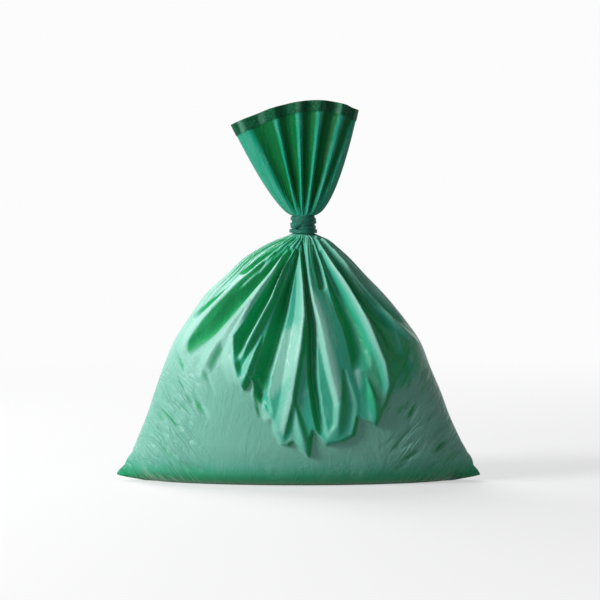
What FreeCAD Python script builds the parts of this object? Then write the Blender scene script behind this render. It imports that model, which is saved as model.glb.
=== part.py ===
"""A filled bin bag, gathered at the neck and tied with a strip of its own film.

Two pieces: the bag, which is one tube of film with its contents inside, and the tie wound round its neck.
The bag stands on the floor with its bottom weld along X, its two weld corners on the X axis, front towards -Y.
Millimetres, +Z up, origin on the floor under the middle of the bag.
"""
import FreeCAD, Part
import math
import os

# Driving dimensions: alias, value in millimetres or degrees, what it is
DIMENSIONS = [
    ("bag_width", 450.0, "weld corner to weld corner"),
    ("bag_depth", 178.0, "front to back across the belly, before its folds"),
    ("tie_level", 305.0, "floor to the lower edge of the tie"),
    ("tie_height", 21.0, "height of the tie"),
    ("neck_radius", 12.5, "radius of the gathered film inside the tie"),
    ("neck_shift", 4.0, "the neck stands this far to the right of the middle"),
    ("mouth_length", 141.0, "film above the tie"),
    ("mouth_spread", 156.0, "width of the mouth at its rim"),
    ("mouth_depth", 50.0, "front to back across the mouth"),
    ("hem_height", 14.0, "height of the folded hem"),
    ("film_wall", 1.0, "thickness that stands for the thin film of the mouth"),
    ("hem_step", 0.8, "how far the hem stands proud of the mouth"),
    ("fold_depth", 15.0, "depth of a deep gather"),
    ("apron_step", 7.0, "how far the loose apron stands proud of the belly"),
    ("ear_reach", 29.0, "how far a weld corner reaches past the belly"),
    ("wrap_thickness", 3.2, "thickness of the wound strip"),
    ("wrap_tilt", 7.0, "slope of the upper turns of the tie, degrees"),
]

# Outline of the belly from the tie down to the floor: share of the way down the film, height as a share of
# tie_level, then left, right and front reach as shares of half the bag's width and depth
STATIONS = [
    (0.000, 1.000, None, None, None),
    (0.025, 0.982, -0.120, 0.150, 0.215),
    (0.069, 0.946, -0.222, 0.213, 0.315),
    (0.122, 0.902, -0.311, 0.276, 0.415),
    (0.190, 0.836, -0.404, 0.356, 0.530),
    (0.270, 0.754, -0.520, 0.462, 0.645),
    (0.365, 0.656, -0.609, 0.573, 0.760),
    (0.458, 0.557, -0.689, 0.667, 0.850),
    (0.548, 0.459, -0.742, 0.720, 0.910),
    (0.638, 0.361, -0.791, 0.773, 0.930),
    (0.727, 0.262, -0.840, 0.818, 0.930),
    (0.815, 0.164, -0.898, 0.876, 0.930),
    (0.876, 0.098, -0.929, 0.916, 0.900),
    (0.925, 0.049, -0.911, 0.893, 0.850),
    (0.960, 0.020, -0.871, 0.853, 0.775),
    (1.000, 0.000, -0.800, 0.791, 0.660),
]

# The tables of folds and of the apron are in mm on a bag of this half width and tie level, and scale with the bag
TABLE_HALF_WIDTH = 225.0
TABLE_TIE_LEVEL = 305.0

# Folds on the front: points (x, z) from the neck down, half width to the left and to the right in mm, and height
# as a share of fold_depth. A negative height is a valley. A fold is steep on its narrow side.
FRONT_FOLDS = [
    ([(-14, 290), (-44, 256), (-77, 222), (-105, 189), (-136, 160)], 13, 8, -0.90),
    ([(-31, 283), (-72, 247), (-104, 214), (-131, 182), (-143, 158)], 10, 5, 0.40),
    ([(-85, 242), (-110, 220), (-134, 200)], 3, 4, -0.30),
    ([(-23, 295), (-50, 275), (-74, 255)], 3, 4, -0.35),
    ([(-15, 289), (-34, 254), (-57, 218), (-78, 181), (-79, 160), (-72, 130)], 16, 7, 0.60),
    ([(-60, 224), (-83, 195), (-107, 160), (-122, 128)], 11, 9, 0.35),
    ([(-11, 285), (-31, 246), (-50, 209), (-63, 178), (-66, 145)], 12, 7, -0.95),
    ([(-6, 287), (-20, 261), (-33, 225), (-50, 192), (-63, 168), (-77, 145), (-70, 118)], 6, 6, 0.70),
    ([(-2, 284), (-11, 247), (-20, 210), (-31, 171), (-41, 138), (-45, 112), (-38, 84)], 12, 7, -1.10),
    ([(0, 284), (3, 244), (5, 204), (1, 167), (-5, 134), (-11, 98), (-22, 55)], 15, 5, 0.65),
    ([(3, 297), (7, 258), (10, 228), (14, 195), (15, 134), (21, 92), (28, 60)], 6, 6, -1.00),
    ([(8, 300), (11, 236), (22, 200), (34, 144), (45, 103), (44, 76), (31, 54)], 5, 28, 0.50),
    ([(17, 292), (23, 262), (28, 236)], 5, 5, -0.60),
    ([(26, 282), (37, 254), (48, 228), (62, 195), (70, 166), (74, 140)], 13, 6, -0.80),
    ([(20, 302), (39, 266), (58, 234), (79, 194), (99, 149), (106, 124), (104, 104)], 15, 7, 0.75),
    ([(32, 290), (62, 250), (89, 214), (110, 180), (121, 150)], 11, 9, -0.80),
    ([(28, 300), (51, 272), (67, 249), (93, 216), (114, 195), (148, 168)], 5, 6, 0.50),
    ([(40, 292), (75, 252), (106, 218), (130, 192)], 4, 5, -0.50),
    ([(41, 285), (81, 246), (108, 220), (124, 204)], 4, 5, 0.30),
    ([(52, 140), (58, 100), (54, 60)], 9, 9, -0.30),
    ([(80, 130), (88, 104), (91, 76)], 9, 6, 0.35),
    ([(-8, 110), (-2, 80), (8, 42)], 9, 7, 0.30),
    ([(-60, 140), (-52, 110), (-34, 78)], 7, 5, 0.35),
]

# The same on the back
BACK_FOLDS = [
    ([(-15, 293), (-52, 262), (-86, 226), (-116, 186), (-132, 150)], 9, 10, -0.80),
    ([(-11, 291), (-34, 258), (-57, 222), (-78, 184), (-90, 140), (-92, 112)], 6, 14, 0.70),
    ([(-8, 288), (-24, 252), (-44, 210), (-58, 168), (-66, 128)], 9, 9, -1.00),
    ([(-4, 288), (-14, 246), (-26, 200), (-36, 150), (-40, 100), (-38, 76)], 5, 13, 0.80),
    ([(0, 286), (-4, 240), (-10, 190), (-12, 140), (-10, 96)], 9, 9, -1.00),
    ([(4, 290), (8, 244), (12, 196), (18, 146), (22, 100), (22, 64)], 12, 5, 0.80),
    ([(9, 288), (22, 250), (34, 206), (46, 160), (54, 116)], 9, 9, -1.00),
    ([(13, 290), (36, 254), (56, 214), (74, 170), (86, 126), (88, 96)], 14, 6, 0.70),
    ([(18, 292), (50, 256), (80, 218), (104, 178), (118, 142)], 10, 9, -0.80),
    ([(26, 293), (66, 254), (100, 216), (128, 178), (142, 152)], 7, 6, 0.50),
]

# The loose apron of film that hangs over the belly: its lower edge as (x, z) from left to right, and how far left
# and right it reaches at each height as (z, left, right)
FRONT_EDGE = [
    (-84, 150), (-77, 124), (-70, 117), (-60, 128), (-50, 112), (-42, 92), (-33, 70), (-23, 53), (-10, 50), (9, 39),
    (17, 60), (30, 53), (42, 64), (54, 58), (68, 72), (80, 84), (91, 75), (100, 96), (106, 108),
]
BACK_EDGE = [
    (-96, 130), (-91, 108), (-76, 112), (-60, 92), (-38, 72), (-20, 88), (0, 78), (22, 60), (38, 80), (56, 88),
    (74, 96), (89, 92), (96, 128),
]
FRONT_REACH = [
    (60, -92, 114), (120, -86, 112), (158, -84, 104), (190, -70, 82), (221, -54, 64), (254, -36, 46), (300, -12, 18),
]
BACK_REACH = [
    (60, -100, 100), (120, -96, 98), (160, -88, 82), (200, -68, 66), (254, -36, 38), (300, -12, 16),
]

# Channels between the ridges of the mouth: middle and half width as shares of the spread (-1 left edge, 1 right
# edge), and depth in mm at the rim
MOUTH_FRONT = [(-0.77, 0.17, 5.0), (-0.33, 0.22, 6.5), (0.06, 0.09, 4.5), (0.36, 0.15, 6.0), (0.75, 0.18, 4.5)]
MOUTH_BACK = [(-0.72, 0.19, 5.0), (-0.26, 0.20, 6.0), (0.14, 0.14, 5.0), (0.50, 0.17, 6.0), (0.85, 0.11, 3.5)]

# The film is laid out in columns of flat facets. Its rows are shares of the way down the belly or up the mouth.
COLUMNS = 132
BODY_ROWS = [
    1.0, 0.985, 0.955, 0.92, 0.885, 0.85, 0.82, 0.79, 0.76, 0.73, 0.70, 0.665, 0.63, 0.59, 0.55, 0.51, 0.47, 0.425,
    0.38, 0.33, 0.28, 0.23, 0.18, 0.13, 0.085, 0.04, 0.0,
]
MOUTH_ROWS = [0.0, 0.06, 0.16, 0.30, 0.48, 0.70]
LINING_ROWS = [0.12, 0.32, 0.62, 1.0]
CROWDING = 0.30        # how much closer the columns stand at the front and the back than at the sides
NARROWEST_FOLD = 4.0   # mm, so that each fold meets at least one column
EAR_HALF_ANGLE = math.radians(17.0)
EAR_LEVELS = [(0.86, 0.0), (0.92, 0.40), (0.955, 1.0), (1.0, 0.35)]
EDGE_FALL = 14.0       # the apron's lower edge falls to the belly over this many mm
SIDE_FALL = 8.0        # and its sides over this many
MOUTH_LEAN = 0.135     # the mouth's sides lean to the left by this share of its spread
LEAST_OPEN = 0.30      # share of the mouth's width at which its hollow starts above the tie
OPEN_LENGTH = 0.45     # share of the way up over which the hollow widens to the whole mouth


def smooth(x):
    """Rises from 0 to 1 as x does, level at both ends."""
    x = min(1.0, max(0.0, x))
    return x * x * (3.0 - 2.0 * x)


def straight_through(table, x):
    """Straight-line reading of a table of (x, y) pairs with rising x."""
    if x <= table[0][0]:
        return table[0][1]
    for (x0, y0), (x1, y1) in zip(table, table[1:]):
        if x <= x1:
            return y0 + (y1 - y0) * (x - x0) / (x1 - x0)
    return table[-1][1]


def curve_through(table, x):
    """Smooth reading of the same kind of table, level wherever the values turn."""
    x = min(table[-1][0], max(table[0][0], x))
    i = next(k for k in range(len(table) - 1) if x <= table[k + 1][0])

    def step(k):
        return (table[k + 1][1] - table[k][1]) / (table[k + 1][0] - table[k][0])

    def slope(k):
        if k == 0 or k == len(table) - 1:
            return step(max(0, k - 1))
        before, after = step(k - 1), step(k)
        return 2.0 * before * after / (before + after) if before * after > 0.0 else 0.0

    (x0, y0), (x1, y1) = table[i], table[i + 1]
    q = (x - x0) / (x1 - x0)
    return (
        y0 * (1 + 2 * q) * (1 - q) ** 2
        + slope(i) * (x1 - x0) * q * (1 - q) ** 2
        + y1 * q * q * (3 - 2 * q)
        + slope(i + 1) * (x1 - x0) * q * q * (q - 1)
    )


def line_distance(x, z, line):
    """Distance from a place to a line, more than 0 on its left, and the share of the line's length passed there."""
    nearest, share, passed = 1e9, 0.0, 0.0
    whole = sum(math.dist(a, b) for a, b in zip(line, line[1:]))
    for a, b in zip(line, line[1:]):
        length = math.dist(a, b)
        dx, dz = (b[0] - a[0]) / length, (b[1] - a[1]) / length
        along = min(length, max(0.0, (x - a[0]) * dx + (z - a[1]) * dz))
        away = math.hypot(x - a[0] - along * dx, z - a[1] - along * dz)
        if away < abs(nearest):
            on_left = (x - a[0]) * dz - (z - a[1]) * dx > 0.0
            nearest, share = away if on_left else -away, (passed + along) / whole
        passed += length
    return nearest, share


def fold_relief(x, z, folds):
    """Height of the listed folds over a place, as a share of the fold depth."""
    relief = 0.0
    for line, left_width, right_width, height in folds:
        away, share = line_distance(x, z, line)
        width = max(left_width if away > 0.0 else right_width, NARROWEST_FOLD)
        q = abs(away) / (width * (0.30 + 0.70 * smooth(share / 0.55)))
        if q < 1.0:
            profile = (1.0 - q * q) ** 1.3 if height < 0.0 else (1.0 - q) ** 1.25
            relief += height * (0.35 + 0.65 * smooth(share / 0.35)) * (1.0 - share ** 7) * profile
    return relief


def apron_share(x, z, edge, reach):
    """1 where the loose apron hangs over the belly, 0 outside its pointed lower edge and its sides."""
    left = straight_through([(level, a) for level, a, b in reach], z)
    right = straight_through([(level, b) for level, a, b in reach], z)
    above = smooth((z - curve_through(edge, x)) / EDGE_FALL + 0.5)
    return above * smooth((x - left) / SIDE_FALL) * smooth((right - x) / SIDE_FALL)


class Film:
    """The film's shape, as points at a bearing (0 right, a quarter turn front) and a share of the way along it."""

    def __init__(self, size):
        self.size = size
        neck, shift, level = size["neck_radius"], size["neck_shift"], size["tie_level"]
        at_neck = (level, shift - neck, shift + neck, neck)
        scales = (level, size["bag_width"] / 2, size["bag_width"] / 2, size["bag_depth"] / 2)
        self.tables = [
            [(row[0], start if row[k] is None else row[k] * scale) for row in STATIONS]
            for k, start, scale in zip((1, 2, 3, 4), at_neck, scales)
        ]

    def plain_belly(self, bearing, down):
        """The belly without folds: a rounded section, pinched towards the weld corners near the floor."""
        z, left, right, depth = (curve_through(table, down) for table in self.tables)
        out = math.sin(bearing)
        pinch = 1.0 + 0.35 * smooth((down - 0.70) / 0.25)
        x = (left + right) / 2 + (right - left) / 2 * math.cos(bearing)
        return FreeCAD.Vector(x, -math.copysign(abs(out) ** pinch, out) * depth, z)

    def outward(self, bearing, down):
        """Direction out of the plain belly."""
        step = 0.01
        round_it = self.plain_belly(bearing + step, down) - self.plain_belly(bearing - step, down)
        up_it = self.plain_belly(bearing, max(0.0, down - step)) - self.plain_belly(bearing, min(1.0, down + step))
        out = up_it.cross(round_it)
        out.normalize()
        return out

    def ear_pull(self, bearing, down):
        """How far the weld corner draws the film out along X."""
        side = 1.0 if math.cos(bearing) > 0.0 else -1.0
        off_axis = abs(math.atan2(math.sin(bearing), side * math.cos(bearing)))
        tip = max(0.0, 1.0 - off_axis / EAR_HALF_ANGLE) ** 2
        return side * self.size["ear_reach"] * tip * straight_through(EAR_LEVELS, down)

    def below_tie(self, bearing, down):
        """A point of the belly with its gathers and its apron."""
        here = self.plain_belly(bearing, down)
        x = here.x * TABLE_HALF_WIDTH / (self.size["bag_width"] / 2)
        z = here.z * TABLE_TIE_LEVEL / self.size["tie_level"]
        front = math.sin(bearing) >= 0.0
        folds = fold_relief(x, z, FRONT_FOLDS if front else BACK_FOLDS)
        apron = apron_share(x, z, *((FRONT_EDGE, FRONT_REACH) if front else (BACK_EDGE, BACK_REACH)))
        facing = smooth((abs(math.sin(bearing)) - 0.02) / 0.20)
        lift = self.size["fold_depth"] * folds * facing * smooth(down / 0.02)
        lift += self.size["apron_step"] * apron * smooth((down - 0.12) / 0.30)
        here = here + self.outward(bearing, down) * lift
        here.x += self.ear_pull(bearing, down)
        here.z = 0.0 if down == 1.0 else max(0.0, here.z)
        return here

    def above_tie(self, bearing, up, inward=0.0):
        """A point of the flared mouth, on its outer side or moved inward. Up is 0 at the tie and 1 at the rim."""
        size = self.size
        neck, spread, depth = size["neck_radius"], size["mouth_spread"] / 2, size["mouth_depth"] / 2
        share, out = math.cos(bearing), math.sin(bearing)
        lean = -MOUTH_LEAN * spread * share ** 2 * up
        half = neck + (spread - neck) * up ** (0.64 - 0.04 * share)
        rise = size["mouth_length"] * (1.0 + 0.064 * share - 0.142 * share ** 2)
        reach = inward + self.mouth_channel(share, out >= 0.0, up)
        flat = FreeCAD.Vector(share / half, out / depth, 0.0)
        flat.normalize()
        return FreeCAD.Vector(
            size["neck_shift"] + share * half + lean - flat.x * reach,
            -(out * (neck + (depth - neck) * up ** 0.7) - flat.y * reach),
            size["tie_level"] + size["tie_height"] + rise * up,
        )

    def mouth_channel(self, share, front, up):
        """Depth of the channels between the mouth's ridges."""
        deepest = 0.0
        for middle, half_width, depth in MOUTH_FRONT if front else MOUTH_BACK:
            away = abs(share - middle * (0.75 + 0.25 * up)) / half_width
            deepest = max(deepest, depth * max(0.0, 1.0 - away ** 2) ** 0.8)
        return deepest * min(1.0, up / 0.3) ** 0.8

    def hem(self, bearing, up):
        """A point of the folded hem, which stands proud of the mouth."""
        return self.above_tie(bearing, up, -self.size["hem_step"])

    def lining(self, bearing, up):
        """A point inside the mouth, whose hollow narrows to nothing above the tie."""
        here = self.above_tie(bearing, up, self.size["film_wall"])
        opened = LEAST_OPEN + (1.0 - LEAST_OPEN) * smooth((up - LINING_ROWS[0]) / OPEN_LENGTH)
        axis = self.size["neck_shift"] * (1.0 - up)
        here.x = axis + (here.x - axis) * opened
        here.y *= opened
        if up == LINING_ROWS[0]:
            here.z = self.size["tie_level"] + self.size["tie_height"] + up * self.size["mouth_length"]
        return here


def column_bearing(column):
    """Bearing of a column, or of the middle between two. The columns stand closer together at front and back."""
    even = 2 * math.pi * column / COLUMNS
    return even + CROWDING * math.sin(2 * even) / 2


def ring(point_at, row, offset=0.0):
    """A closed ring of points at one row, or of the middles between the columns with an offset of a half."""
    return [point_at(column_bearing(i + offset), row) for i in range(COLUMNS)]


def strips(point_at, rows):
    """The rings of a stretch of film, and the true middles of the cells between them."""
    rings = [ring(point_at, row) for row in rows]
    return rings, [ring(point_at, (a + b) / 2, 0.5) for a, b in zip(rows, rows[1:])]


def straight_strip(low, high):
    """Middles of the cells between two rings that are joined straight."""
    return [[(low[i] + low[i - 1] + high[i] + high[i - 1]) * 0.25 for i in list(range(1, COLUMNS)) + [0]]]


def facets(rings, middles):
    """Flat triangles between the rings. Each cell is split along the diagonal that lies nearer its true middle."""
    corners = []
    for j, (low, high) in enumerate(zip(rings, rings[1:])):
        for i in range(COLUMNS):
            k = (i + 1) % COLUMNS
            rising = ((low[i] + high[k]) * 0.5).distanceToPoint(middles[j][i])
            falling = ((low[k] + high[i]) * 0.5).distanceToPoint(middles[j][i])
            a, b = j * COLUMNS + i, j * COLUMNS + k
            c, d = b + COLUMNS, a + COLUMNS
            corners += [(a, b, c), (a, c, d)] if rising <= falling else [(a, b, d), (b, c, d)]
    shape = Part.Shape()
    shape.makeShapeFromMesh(([point for points in rings for point in points], corners), 0.001)
    return shape.Faces


def flat_cap(points):
    """A flat face inside a level ring of points."""
    return Part.Face(Part.makePolygon(points + points[:1]))


def bag_shape(size):
    """The whole bag as one closed solid: belly, neck, flared mouth with its hem, and the hollow of the mouth."""
    film = Film(size)
    hem_start = 1.0 - size["hem_height"] / size["mouth_length"]
    stretches = [
        strips(film.below_tie, BODY_ROWS),
        strips(film.above_tie, MOUTH_ROWS + [hem_start]),
        strips(film.hem, [hem_start, 1.0]),
        strips(film.lining, LINING_ROWS[::-1]),
    ]
    rings, middles = [], []
    for stretch_rings, stretch_middles in stretches:
        if rings:
            middles += straight_strip(rings[-1], stretch_rings[0])
        rings += stretch_rings
        middles += stretch_middles
    shell = Part.Shell([flat_cap(rings[0])] + facets(rings, middles) + [flat_cap(rings[-1])])
    shell.sewShape()
    solid = Part.Solid(shell)
    if solid.Volume < 0:
        solid.reverse()
    return solid


def bind(thing, **formulas):
    """Tie properties to the sheet. A double underscore in a name stands for a dot."""
    for name, formula in formulas.items():
        thing.setExpression(name.replace("__", "."), formula)


def add_turn(doc, name, level, tilt, height, stand):
    """One turn of the strip: a flat band that slopes across the neck. Level, height and stand are formulas."""
    band = doc.addObject("Part::Cylinder", name)
    lean = f"({tilt})"
    bind(
        band,
        Radius=f"Dimensions.neck_radius + {stand}",
        Height=height,
        Placement__Base__x=f"Dimensions.neck_shift - sin({lean} * 1 deg) * {height} / 2",
        Placement__Base__z=f"Dimensions.tie_level + {level} - {height} / 2",
        Placement__Rotation__Axis__x="0",
        Placement__Rotation__Axis__y="1",
        Placement__Rotation__Axis__z="0",
        Placement__Rotation__Angle=lean,
    )
    return band


def add_tie(doc):
    """The strip wound round the neck: a sleeve, sloping turns over one another, and its rolled end tucked in."""
    tall, thick, tilt = "Dimensions.tie_height", "Dimensions.wrap_thickness", "Dimensions.wrap_tilt"
    sleeve = doc.addObject("Part::Cylinder", "sleeve")
    bind(
        sleeve,
        Radius=f"Dimensions.neck_radius + {thick} * 0.55",
        Height=tall,
        Placement__Base__x="Dimensions.neck_shift",
        Placement__Base__z="Dimensions.tie_level",
    )
    turns = [
        add_turn(doc, "bottom_turn", f"{tall} * 0.12", "1", f"{tall} * 0.20", f"{thick} * 1.45"),
        add_turn(doc, "second_turn", f"{tall} * 0.36", f"{tilt} * 0.7", f"{tall} * 0.26", f"{thick} * 0.95"),
        add_turn(doc, "third_turn", f"{tall} * 0.58", f"-{tilt}", f"{tall} * 0.22", f"{thick} * 1.15"),
        add_turn(doc, "top_turn", f"{tall} * 0.82", f"{tilt} * 0.5", f"{tall} * 0.20", thick),
    ]
    tuck = doc.addObject("Part::Cylinder", "tuck")
    bind(
        tuck,
        Radius=f"{thick} * 0.95",
        Height=f"{tall} * 0.55",
        Placement__Base__x="Dimensions.neck_shift - Dimensions.neck_radius * 0.9",
        Placement__Base__y=f"-Dimensions.neck_radius - {thick} * 0.35",
        Placement__Base__z=f"Dimensions.tie_level + {tall} * 0.36",
        Placement__Rotation__Axis__x="0",
        Placement__Rotation__Axis__y="1",
        Placement__Rotation__Axis__z="0",
        Placement__Rotation__Angle="62",
    )
    wound = doc.addObject("Part::MultiFuse", "wound_strip")
    wound.Shapes = [sleeve, tuck] + turns
    band = doc.addObject("Part::Cylinder", "tie_band")
    bind(
        band,
        Radius="Dimensions.neck_radius * 3",
        Height=tall,
        Placement__Base__x="Dimensions.neck_shift",
        Placement__Base__z="Dimensions.tie_level",
    )
    trimmed = doc.addObject("Part::MultiCommon", "trimmed_strip")
    trimmed.Shapes = [wound, band]
    neck = doc.addObject("Part::Cylinder", "neck_space")
    bind(
        neck,
        Radius="Dimensions.neck_radius",
        Height=f"{tall} * 3",
        Placement__Base__x="Dimensions.neck_shift",
        Placement__Base__z=f"Dimensions.tie_level - {tall}",
    )
    tie = doc.addObject("Part::Cut", "neck_tie")
    tie.Label = "neck_tie"
    tie.Base, tie.Tool = trimmed, neck
    return tie


def check(doc):
    """Stop if anything in the document failed."""
    for thing in doc.Objects:
        if "Invalid" in thing.State or "Error" in thing.State:
            raise RuntimeError(f"{thing.Label} failed: {thing.State}")
        if hasattr(thing, "Shape") and (thing.Shape.isNull() or not thing.Shape.isValid()):
            raise RuntimeError(f"{thing.Label} has no valid shape")


def main():
    doc = FreeCAD.newDocument("tied_bin_bag")
    sheet = doc.addObject("Spreadsheet::Sheet", "Dimensions")
    for row, (alias, value, note) in enumerate(DIMENSIONS, start=1):
        sheet.set(f"A{row}", str(value))
        sheet.setAlias(f"A{row}", alias)
        sheet.set(f"B{row}", note)
    doc.recompute()

    bag = doc.addObject("Part::Feature", "bag")
    bag.Label = "bag"
    bag.Shape = bag_shape({row[0]: float(sheet.get(row[0])) for row in DIMENSIONS})
    bag.Placement = FreeCAD.Placement()
    tie = add_tie(doc)
    doc.recompute()
    check(doc)

    os.makedirs("parts", exist_ok=True)
    for part in (bag, tie):
        part.Shape.exportStep(f"parts/{part.Label}.step")
        print(part.Label, len(part.Shape.Faces), "faces", part.Shape.Volume, "mm3", part.Shape.BoundBox)


main()
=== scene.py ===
import math

import bpy
import numpy as np
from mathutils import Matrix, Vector


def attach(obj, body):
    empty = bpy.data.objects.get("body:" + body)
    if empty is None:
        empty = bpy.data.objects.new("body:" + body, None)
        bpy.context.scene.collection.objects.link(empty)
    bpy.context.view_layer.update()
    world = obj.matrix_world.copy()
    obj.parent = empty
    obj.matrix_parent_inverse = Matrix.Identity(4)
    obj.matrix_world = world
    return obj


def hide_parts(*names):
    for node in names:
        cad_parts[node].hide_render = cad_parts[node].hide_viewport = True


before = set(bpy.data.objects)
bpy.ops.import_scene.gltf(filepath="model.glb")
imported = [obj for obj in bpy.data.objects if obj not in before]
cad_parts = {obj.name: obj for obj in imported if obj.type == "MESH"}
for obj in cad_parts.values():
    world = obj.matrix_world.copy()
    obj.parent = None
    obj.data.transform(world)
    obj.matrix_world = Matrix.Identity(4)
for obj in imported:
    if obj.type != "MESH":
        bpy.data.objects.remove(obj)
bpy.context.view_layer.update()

MM = 0.001

# The bag's own sizes in millimetres, the same as in the part's source
HALF_WIDTH = 225.0
HALF_DEPTH = 89.0
TIE_LEVEL = 305.0
TIE_HEIGHT = 21.0
NECK_RADIUS = 12.5
NECK_SHIFT = 4.0
MOUTH_LENGTH = 141.0
MOUTH_SPREAD = 78.0
MOUTH_DEPTH = 25.0
HEM_HEIGHT = 14.0
EAR_REACH = 29.0
EAR_HALF_ANGLE = math.radians(17.0)
FOLD_DEPTH = 15.0      # of a fold whose height is 1
# These four are the visual model's own. The film is thinner and the apron's step and edge are finer than in
# the solids.
FILM_WALL = 0.6
APRON_STEP = 6.5
APRON_EDGE = 4.5       # the apron's edge falls to the belly over this many mm
CREST_ROUND = 0.20     # how round the crests are, as a share of a fold's half width

# Outline of the belly from the tie down to the floor: share of the way down the film, height as a share of
# TIE_LEVEL, then left, right and front reach as shares of HALF_WIDTH and HALF_DEPTH
STATIONS = [
    (0.000, 1.000, None, None, None),
    (0.025, 0.982, -0.120, 0.150, 0.215),
    (0.069, 0.946, -0.222, 0.213, 0.315),
    (0.122, 0.902, -0.311, 0.276, 0.415),
    (0.190, 0.836, -0.404, 0.356, 0.530),
    (0.270, 0.754, -0.520, 0.462, 0.645),
    (0.365, 0.656, -0.609, 0.573, 0.760),
    (0.458, 0.557, -0.689, 0.667, 0.850),
    (0.548, 0.459, -0.742, 0.720, 0.910),
    (0.638, 0.361, -0.791, 0.773, 0.930),
    (0.727, 0.262, -0.840, 0.818, 0.930),
    (0.815, 0.164, -0.898, 0.876, 0.930),
    (0.876, 0.098, -0.929, 0.916, 0.900),
    (0.925, 0.049, -0.911, 0.893, 0.850),
    (0.960, 0.020, -0.871, 0.853, 0.775),
    (1.000, 0.000, -0.800, 0.791, 0.660),
]

# Folds on the front: points (x, z) in mm from the neck down, half width to the left and to the right in mm,
# and height as a share of FOLD_DEPTH. A negative height is a valley. A fold is steep on its narrow side.
FRONT_FOLDS = [
    ([(-14, 290), (-44, 256), (-77, 222), (-105, 189), (-136, 160)], 10, 6, -0.85),
    ([(-31, 283), (-72, 247), (-104, 214), (-131, 182), (-143, 158)], 10, 5, 0.40),
    ([(-85, 242), (-110, 220), (-134, 200)], 3, 4, -0.30),
    ([(-23, 295), (-50, 275), (-74, 255)], 3, 4, -0.35),
    ([(-15, 289), (-34, 254), (-57, 218), (-78, 181), (-79, 150), (-69, 120)], 16, 7, 0.60),
    ([(-60, 224), (-83, 195), (-107, 160), (-122, 128)], 11, 9, 0.35),
    ([(-11, 285), (-31, 246), (-50, 210), (-67, 180), (-76, 152)], 12, 7, -0.95),
    ([(-6, 287), (-20, 261), (-33, 225), (-50, 192), (-63, 168), (-77, 145)], 6, 6, 0.70),
    ([(-45, 181), (-57, 150), (-69, 120)], 8, 4, 0.50),
    ([(-2, 284), (-11, 247), (-20, 210), (-31, 171), (-41, 138), (-45, 112), (-38, 84)], 12, 7, -1.10),
    ([(0, 284), (3, 244), (5, 204), (1, 167), (-5, 134), (-11, 98), (-22, 55)], 15, 5, 0.65),
    ([(3, 297), (7, 258), (10, 228), (14, 195), (15, 134), (21, 92), (28, 60)], 6, 6, -1.00),
    ([(8, 300), (11, 236), (22, 200), (34, 144), (45, 103), (44, 76), (31, 54)], 5, 28, 0.50),
    ([(17, 292), (23, 262), (28, 236)], 5, 5, -0.60),
    ([(26, 282), (37, 254), (48, 228), (62, 195), (70, 166), (74, 140)], 12, 12, -0.80),
    ([(20, 302), (39, 266), (58, 234), (79, 194), (99, 149), (106, 124), (104, 104)], 8, 7, 0.70),
    ([(32, 290), (62, 250), (89, 214), (110, 180), (121, 150)], 11, 9, -0.80),
    ([(28, 300), (51, 272), (67, 249), (93, 216), (114, 195), (148, 168)], 5, 6, 0.50),
    ([(40, 292), (75, 252), (106, 218), (130, 192)], 4, 5, -0.50),
    ([(41, 285), (81, 246), (108, 220), (124, 204)], 4, 5, 0.30),
    ([(52, 140), (58, 100), (54, 60)], 9, 9, -0.30),
    ([(80, 130), (88, 104), (91, 76)], 9, 6, 0.35),
    ([(-8, 110), (-2, 80), (8, 42)], 9, 7, 0.30),
    ([(-60, 140), (-52, 110), (-34, 78)], 7, 5, 0.35),
]

# The same on the back, which the photograph doesn't show
BACK_FOLDS = [
    ([(-15, 293), (-52, 262), (-86, 226), (-116, 186), (-132, 150)], 9, 10, -0.80),
    ([(-11, 291), (-34, 258), (-57, 222), (-78, 184), (-90, 140), (-92, 112)], 6, 14, 0.70),
    ([(-8, 288), (-24, 252), (-44, 210), (-58, 168), (-66, 128)], 9, 9, -1.00),
    ([(-4, 288), (-14, 246), (-26, 200), (-36, 150), (-40, 100), (-38, 76)], 5, 13, 0.80),
    ([(0, 286), (-4, 240), (-10, 190), (-12, 140), (-10, 96)], 9, 9, -1.00),
    ([(4, 290), (8, 244), (12, 196), (18, 146), (22, 100), (22, 64)], 12, 5, 0.80),
    ([(9, 288), (22, 250), (34, 206), (46, 160), (54, 116)], 9, 9, -1.00),
    ([(13, 290), (36, 254), (56, 214), (74, 170), (86, 126), (88, 96)], 14, 6, 0.70),
    ([(18, 292), (50, 256), (80, 218), (104, 178), (118, 142)], 10, 9, -0.80),
    ([(26, 293), (66, 254), (100, 216), (128, 178), (142, 152)], 7, 6, 0.50),
]

# Outline of the loose apron of film that hangs over the belly, as (x, z) in mm: down its left side, along
# its pointed lower edge and up its right side
FRONT_APRON = [
    (-8, 300), (-20, 268), (-50, 224), (-79, 181), (-81, 170), (-79, 146), (-76, 129), (-68, 118),
    (-60, 130), (-52, 134), (-43, 96), (-33, 82), (-29, 68), (-23, 53), (-15, 51), (-8, 56),
    (10, 38), (13, 60), (16, 69), (31, 52), (51, 56), (64, 63), (69, 85), (91, 75), (97, 90),
    (104, 103), (107, 122), (101, 147), (81, 193), (41, 263), (18, 300),
]
# Places on the front painted pale, as highlights where the window light reflects off the film
HIGHLIGHT_FACES = [
    [(-6, 196), (-3, 172), (-12, 140), (-33, 108), (-38, 112), (-31, 150), (-24, 186)],
    [(13, 240), (24, 228), (35, 190), (44, 150), (50, 112), (42, 100), (36, 128), (28, 160), (17, 200)],
    [(-12, 116), (-7, 112), (-18, 66), (-25, 70)],
    [(60, 176), (70, 152), (78, 120), (70, 118), (64, 140)],
]
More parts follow.
